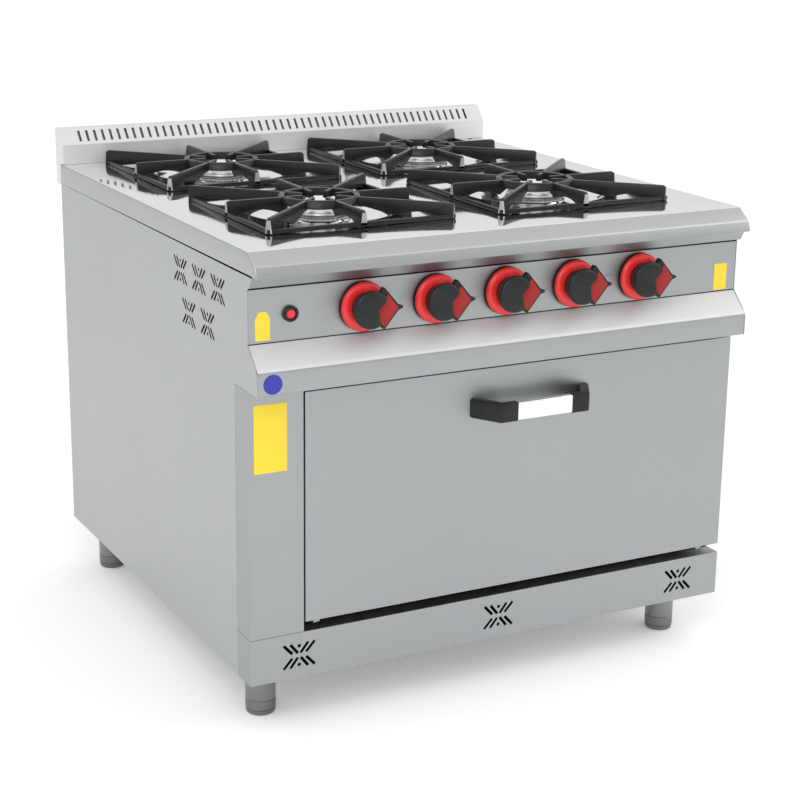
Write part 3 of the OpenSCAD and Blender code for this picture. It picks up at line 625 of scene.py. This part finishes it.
# ---- Igniter ----------------------------------------------------------------------------------
# The piezo igniter: a black collar screwed into the panel round a red push button.
button_lo, button_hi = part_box("igniter_button")
igniter = ((button_lo.x + button_hi.x) / 2, front_y, knob_z)
GUIDE_R, COLLAR_R, COLLAR_BACK = 0.0081, 0.0125, -0.0380
collar = turned("igniter_collar", [
    (GUIDE_R, COLLAR_BACK), (0.0100, COLLAR_BACK), (0.0100, 0), (0.0118, 0), (COLLAR_R, 0.0008),
    (COLLAR_R, 0.0046), (0.0116, 0.0062), (0.0104, 0.0070), (0.0088, 0.0070), (GUIDE_R, 0.0062),
    (GUIDE_R, COLLAR_BACK)], igniter, FORWARD, 48)
complete(collar, black_plastic, "range_body", "black_plastic", "igniter_body")
BUTTON_R = 0.0078
button = turned("igniter_push_button", [
    (0, -0.0120), (BUTTON_R, -0.0120), (BUTTON_R, 0.0034), (0.0073, 0.0044), (0.0062, 0.0050),
    (0.0042, 0.0046), (0, 0.0042)], igniter, FORWARD, 48)
complete(button, red_plastic, "igniter_push", "red_plastic", "igniter_button")

# ---- Burners ----------------------------------------------------------------------------------
# A light alloy casting: a cup on a mixing tube that draws air near the control panel, with a
# bright machined cap laid on its rim. Flame ports are cut all round the rim.
UP = (0, 0, 1)
cast = Shader("cast_iron")
cast.tint(cast.noise(60), (0.012, 0.012, 0.013), (0.026, 0.027, 0.029))
cast.spread(cast.noise(35), 0.38, 0.55, "Roughness")
cast.relief(cast.noise(700), 0.35, 0.0003)
cast_iron = cast.material

head_lo, head_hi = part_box("burner_heads")
cap_lo, cap_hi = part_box("burner_caps")
mix_z = top_z - 0.048
seat = (-burner_x, rows[0], 0)
cup = turned("burner_cup", [
    (0, head_lo.z), (0.016, head_lo.z), (0.018, head_lo.z + 0.002), (0.020, top_z - 0.030),
    (0.030, top_z - 0.024), (0.048, top_z - 0.014), (CUP_R, top_z - 0.012), (CUP_R, head_hi.z - 0.001),
    (0.049, head_hi.z), (0, head_hi.z)], seat, UP, 72)
# Every second face of the upright rim is pushed in as a flame port
rim = [f for f in cup.data.polygons
       if abs(f.normal.z) < 0.1 and abs((f.center - Vector(seat)).xy.length - CUP_R) < 0.001]
rim.sort(key=lambda f: math.atan2(f.center.y - seat[1], f.center.x - seat[0]))
ports = [f.index for f in rim[::2]]
only(cup)
bpy.ops.object.mode_set(mode="EDIT")
bpy.ops.mesh.select_mode(type="FACE")
bpy.ops.mesh.select_all(action="DESELECT")
bpy.ops.object.mode_set(mode="OBJECT")
for port in ports:
    cup.data.polygons[port].select = True
bpy.ops.object.mode_set(mode="EDIT")
bpy.ops.mesh.extrude_faces_move(TRANSFORM_OT_shrink_fatten={"value": -0.004})
bpy.ops.object.mode_set(mode="OBJECT")
TUBE_R, MOUTH_R, TUBE_BORE = 0.014, 0.019, 0.011
tube_end = (seat[0], seat[1], mix_z)
tube = turned("mixing_tube", [
    (TUBE_BORE, 0.040), (TUBE_R, 0.040), (TUBE_R, 0.116), (MOUTH_R, 0.121), (MOUTH_R, 0.131), (0.018, 0.132),
    (0.0165, 0.131), (TUBE_BORE, 0.110), (TUBE_BORE, 0.040)], tube_end, FORWARD, 40)
neck = turned("mixing_neck", [(0, 0), (TUBE_R, 0), (TUBE_R, 0.060), (0, 0.060)], tube_end, FORWARD, 40)
burner = joined("burner_casting", cup, tube, neck)
cap = turned("burner_cap", [
    (0, cap_lo.z), (0.0440, cap_lo.z), (0.0474, cap_lo.z + 0.0022), (0.0480, cap_lo.z + 0.0036),
    (0.0474, cap_lo.z + 0.0058), (0.0455, cap_lo.z + 0.0074), (0.0300, cap_hi.z - 0.0016),
    (0.0215, cap_hi.z - 0.0008), (0.0200, cap_hi.z), (0, cap_hi.z)], seat, UP, 72)
burners, caps = [], []
for x in (-burner_x, burner_x):
    for y in rows:
        shift = Vector((x - seat[0], y - seat[1], 0))
        burners.append(copy_of(burner, "burner", shift))
        caps.append(copy_of(cap, "cap", shift))
alloy = Shader("cast_alloy")
alloy.set(Metallic=0.85)
alloy.tint(alloy.noise(40), (0.50, 0.505, 0.51), (0.60, 0.605, 0.61))
alloy.spread(alloy.noise(60), 0.38, 0.50, "Roughness")
alloy.relief(alloy.noise(700), 0.2, 0.0002)
cap_alloy = Shader("machined_alloy")
cap_alloy.set(Metallic=0.6)
cap_alloy.tint(cap_alloy.noise(30), (0.88, 0.885, 0.89), (0.94, 0.945, 0.95))
cap_alloy.spread(cap_alloy.noise(90), 0.30, 0.40, "Roughness")
complete(joined("burner_castings", *burners), alloy.material, "range_body", "light_alloy", "burner_heads")
lids = joined("burner_cap_castings", *caps)
complete(lids, cap_alloy.material, "range_body", "light_alloy", "burner_caps")
# The crown of each cap is black
CROWN_R = 0.034
refinish(lids, cast_iron, lambda at, normal: normal.z > 0.3 and (abs(at.x) - burner_x) ** 2
         + min((at.y - y) ** 2 for y in rows) < CROWN_R ** 2)
for pattern in (burner, cap):
    bpy.data.objects.remove(pattern)

# ---- Pan supports -----------------------------------------------------------------------------
# Enamelled cast iron, lifted off for cleaning: eight tapered arms, arched underneath, run from a
# ring over the burner to a thin square frame.
support_lo, support_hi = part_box("pan_support_front_left")
support_base = support_lo.z
arm_top = support_hi.z - support_lo.z
FRAME_HALF, BAR = 0.165, 0.007
HUB_R = 0.030
ARM_W, TOP_TAPER = 0.013, 0.50


def arch(r0, r1, rise, steps=8):
    """Points of an arch under an arm, from r0 to r1."""
    return [(r0 + (r1 - r0) * i / steps, rise * math.sin(math.pi * i / steps)) for i in range(steps + 1)]


def support_arm(name, reach, turn):
    """One arm, drawn from the side, narrowed to its top and rounded, then turned to its place."""
    side_view = [(HUB_R, 0.013), (HUB_R, arm_top), (reach - 0.005, arm_top),
                 (reach, arm_top - 0.003), (reach, 0)]
    side_view += arch(reach - 0.015, reach - 0.092, 0.008)
    if reach > 0.2:
        side_view += [(reach - 0.104, 0), (0.084, 0.009)]
    side_view += [(HUB_R + 0.024, 0.012)]
    arm = slab(name, [(x, -ARM_W / 2, z) for x, z in side_view], (0, ARM_W, 0))
    for v in arm.data.vertices:
        v.co.y *= 1 - TOP_TAPER * v.co.z / arm_top
    soften(arm, 0.0011, 3, 35)
    arm.data.transform(Matrix.Translation((seat[0], seat[1], support_base)) @ Matrix.Rotation(turn, 4, "Z"))
    return arm


side_reach = FRAME_HALF
corner_reach = FRAME_HALF * math.sqrt(2) - 0.003
arms = [support_arm(f"arm_{i}", corner_reach if i % 2 else side_reach, i * math.tau / 8) for i in range(8)]
RING_R0, RING_R1 = 0.056, 0.070
ring = turned("support_ring", [
    (RING_R0, 0.013), (0.057, 0.012), (0.069, 0.012), (RING_R1, 0.013), (0.0672, arm_top - 0.001),
    (0.0660, arm_top), (0.0590, arm_top), (0.0578, arm_top - 0.001), (RING_R0, 0.013)],
    (seat[0], seat[1], support_base), UP, 72)
deselect()
bpy.ops.mesh.primitive_plane_add(size=2 * FRAME_HALF, location=(seat[0], seat[1], support_base))
square = bpy.context.object
bpy.ops.object.mode_set(mode="EDIT")
bpy.ops.mesh.select_all(action="SELECT")
bpy.ops.mesh.inset(thickness=BAR)
bpy.ops.mesh.delete(type="FACE")
bpy.ops.mesh.select_all(action="SELECT")
bpy.ops.mesh.extrude_region_move(TRANSFORM_OT_translate={"value": (0, 0, BAR)})
settle(square)
soften(square, 0.0012, 2)
support = joined("pan_support_casting", *arms, ring, square)
grate = Shader("enamelled_iron")
grate.set(Specular_IOR_Level=0.32, Coat_Weight=0.10, Coat_Roughness=0.2)
grate.tint(grate.noise(45), (0.005, 0.006, 0.006), (0.010, 0.011, 0.012))
grate.spread(grate.noise(30), 0.28, 0.42, "Roughness")
grate.relief(grate.noise(500), 0.30, 0.0003)
# The arms' tops clear of the ring and their outer ends get lighter, part-metallic tones as a painted
# highlight
top_highlight = Shader("arm_tops_painted_highlight")
top_highlight.set(Metallic=0.5)
top_highlight.tint(top_highlight.noise(50), (0.085, 0.087, 0.09), (0.13, 0.133, 0.137))
top_highlight.spread(top_highlight.noise(80), 0.35, 0.5, "Roughness")
end_highlight = Shader("arm_ends_painted_highlight")
end_highlight.set(Metallic=0.7)
end_highlight.tint(end_highlight.noise(50), (0.36, 0.365, 0.37), (0.46, 0.465, 0.47))
end_highlight.spread(end_highlight.noise(80), 0.35, 0.5, "Roughness")
CLEAR_OF_RING, NEAR_THE_ENDS = 0.074, 0.160
for column, x in (("left", -burner_x), ("right", burner_x)):
    for row, y in zip(("front", "rear"), rows):
        shift = Vector((x - seat[0], y - seat[1], 0))
        node = f"pan_support_{row}_{column}"
        casting = copy_of(support, node + "_casting", shift)
        complete(casting, grate.material, f"support_{row}_{column}", "cast_iron", node)
        middle = Vector((x, y, 0))
        refinish(casting, top_highlight.material, lambda at, normal: (
            normal.z > 0.95 and at.z > support_base + arm_top - 0.001
            and (at - middle).xy.length > CLEAR_OF_RING))
        refinish(casting, end_highlight.material, lambda at, normal: (
            at.z > support_base + 0.0075 and (at - middle).xy.length > NEAR_THE_ENDS
            and normal.xy.dot((at - middle).xy.normalized()) > 0.9))
bpy.data.objects.remove(support)

# ---- Legs and feet ----------------------------------------------------------------------------
# Stainless tube legs flanged to the base. A foot with a dark rounded pad screws into each to
# level the range.
leg_lo, leg_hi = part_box("leg_tubes")
LEG_R, FLANGE_R = 0.025, 0.035
LEG_BORE, SPIGOT_R = 0.0234, 0.0233
leg_x = leg_hi.x - FLANGE_R
leg_rows = (leg_lo.y + FLANGE_R, leg_hi.y - FLANGE_R)
leg_at = (-leg_x, leg_rows[0], 0)
leg = turned("leg_tube", [
    (LEG_BORE, leg_lo.z), (0.0246, leg_lo.z), (LEG_R, leg_lo.z + 0.0006), (LEG_R, leg_hi.z - 0.0055),
    (0.0262, leg_hi.z - 0.0036), (0.0340, leg_hi.z - 0.0030), (FLANGE_R, leg_hi.z - 0.0020),
    (FLANGE_R, leg_hi.z), (LEG_BORE, leg_hi.z), (LEG_BORE, leg_lo.z)], leg_at, UP, 64)
foot = turned("levelling_foot", [
    (0, 0), (0.0205, 0), (0.0228, 0.0010), (0.0240, 0.0030), (0.0246, 0.0060), (0.0246, 0.0084),
    (0.0238, 0.0090), (0.0238, 0.0100), (LEG_R, 0.0108), (LEG_R, leg_lo.z - 0.0010),
    (0.0244, leg_lo.z - 0.0003), (SPIGOT_R, leg_lo.z - 0.0003), (SPIGOT_R, 0.0550), (0, 0.0550)],
    leg_at, UP, 64)
leg_steel = Shader("leg_tube_steel")
leg_steel.set(Metallic=1.0)
leg_steel.tint(leg_steel.noise(8), (0.24, 0.245, 0.25), (0.29, 0.295, 0.30))
leg_steel.spread(leg_steel.noise(50, (9, 9, 0.4)), 0.26, 0.36, "Roughness")
foot_steel = Shader("foot_steel")
foot_steel.set(Metallic=1.0)
foot_steel.tint(foot_steel.noise(20), (0.17, 0.175, 0.18), (0.22, 0.225, 0.23))
foot_steel.spread(foot_steel.noise(70), 0.30, 0.42, "Roughness")
legs = []
for column, x in (("left", -leg_x), ("right", leg_x)):
    for row, y in zip(("front", "rear"), leg_rows):
        shift = Vector((x + leg_x, y - leg_rows[0], 0))
        legs.append(copy_of(leg, "leg", shift))
        node = f"foot_{row}_{column}"
        pad = copy_of(foot, node + "_pad", shift)
        complete(pad, foot_steel.material, f"levelling_{row}_{column}", "stainless_sheet", node)
complete(joined("leg_tube_set", *legs), leg_steel.material, "range_body", "stainless_sheet", "leg_tubes")
for pattern in (leg, foot):
    bpy.data.objects.remove(pattern)

# ---- Blank labels -----------------------------------------------------------------------------
# Plain coloured stickers without any print, where such a range carries its plates: one on the
# stile, one at each end of the control panel and a round one on the bumper's left end.
FILM_T = 0.0004


def label(name, colour, face_y, outline):
    """A thin plain sticker on an upright face, from its outline seen from the front."""
    sticker = slab(name, [(x, face_y - FILM_T, z) for x, z in outline], (0, FILM_T, 0))
    film = Shader(name + "_film")
    film.tint(film.noise(12), [c * 0.96 for c in colour], colour)
    film.spread(film.noise(60), 0.34, 0.46, "Roughness")
    film.relief(film.noise(25), 0.1, 0.0002)
    complete(sticker, film.material, "range_body", "stainless_sheet")


YELLOW = (0.88, 0.66, 0.03)
BLUE = (0.035, 0.028, 0.36)
label("stile_label", YELLOW, front_y, [(-0.441, 0.439), (-0.386, 0.439), (-0.386, 0.548), (-0.441, 0.548)])
label("panel_label_left", YELLOW, front_y, [
    (-0.437, 0.648), (-0.413, 0.648), (-0.413, 0.682), (-0.419, 0.692), (-0.431, 0.692), (-0.437, 0.682)])
label("panel_label_right", YELLOW, front_y, [
    (0.405, 0.646), (0.431, 0.646), (0.431, 0.691), (0.405, 0.691)])
label("rail_round_label", BLUE, rail_lo.y, arc((-0.424, rail_lo.z + 0.0165), 0.0155, 0, 348, 29))

# ---- Oven and door insides --------------------------------------------------------------------
# Black vitreous enamel inside the oven and on the door's inner panel, a cast sole plate over a
# tube burner, a chromed wire rack, and wool slabs between the liner and the outer sheets.
enamel = Shader("black_enamel")
enamel.set(Coat_Weight=0.5, Coat_Roughness=0.1)
enamel.tint(enamel.noise(400), (0.008, 0.008, 0.010), (0.020, 0.020, 0.024), 0.45, 0.62)
enamel.spread(enamel.noise(20), 0.22, 0.34, "Roughness")
finish_node(enamel.material, "oven_liner", "door_inner")
finish_node(cast_iron, "oven_sole_plate")
chrome = Shader("chromed_wire")
chrome.set(Metallic=1.0)
chrome.tint(chrome.noise(20), (0.74, 0.75, 0.76), (0.80, 0.81, 0.82))
chrome.spread(chrome.noise(80), 0.10, 0.20, "Roughness")
finish_node(chrome.material, "oven_rack")
finish_node(plain_steel, "oven_burner")
wool = Shader("mineral_wool")
wool.set(Roughness=0.95)
wool.tint(wool.noise(120), (0.48, 0.42, 0.24), (0.66, 0.60, 0.38))
wool.relief(wool.noise(200), 0.6, 0.002)
finish_node(wool.material, "oven_insulation", "door_insulation")
# The door closes on a dark fibre seal
seal = Shader("door_seal")
seal.tint(seal.noise(80), (0.012, 0.012, 0.012), (0.022, 0.022, 0.022))
seal.spread(seal.noise(40), 0.6, 0.8, "Roughness")
finish_node(seal.material, "door_gasket")

deselect()
